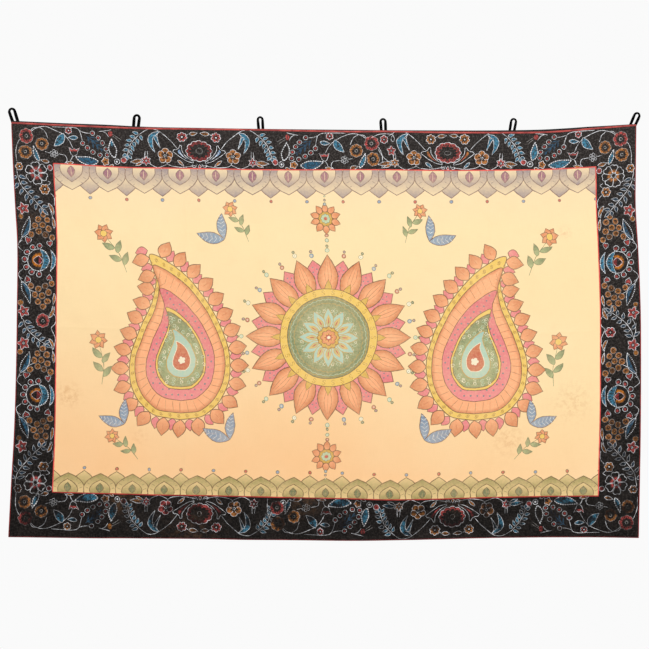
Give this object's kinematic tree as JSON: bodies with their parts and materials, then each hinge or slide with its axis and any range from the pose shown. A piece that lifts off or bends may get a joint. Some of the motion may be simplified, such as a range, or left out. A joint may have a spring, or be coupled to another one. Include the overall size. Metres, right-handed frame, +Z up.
{
  "type": "wall tapestry",
  "caption": "Painted cotton wall hanging: a pale panel piped in red inside a black flowered border, with soft black hanging loops along its top edge.",
  "frame": {"origin": "the middle of the top edge, in the plane of the cloth, where the cloth is hung from", "axes": "+X along the width, to the right as seen from the front, +Z up, and the painted front faces -Y"},
  "size_m": [2.1427, 0.0207, 1.4662],
  "materials": {
    "painted_panel": "cream to peach painted cotton, matt",
    "black_border": "black cotton with painted flowers, matt",
    "red_piping": "red cotton piping and binding",
    "black_tape": "plain black cotton tape and loops"
  },
  "bodies": {
    "root": {"centre_panel": "painted_panel", "border_top": "black_border", "border_bottom": "black_border", "border_left": "black_border", "border_right": "black_border", "piping_top": "red_piping", "piping_bottom": "red_piping", "piping_left": "red_piping", "piping_right": "red_piping", "binding_top": "red_piping", "binding_bottom": "red_piping", "binding_left": "red_piping", "binding_right": "red_piping", "heading_tape": "black_tape", "loop_1": "black_tape", "loop_2": "black_tape", "loop_3": "black_tape", "loop_4": "black_tape", "loop_5": "black_tape", "loop_6": "black_tape"}
  },
  "joints": []
}
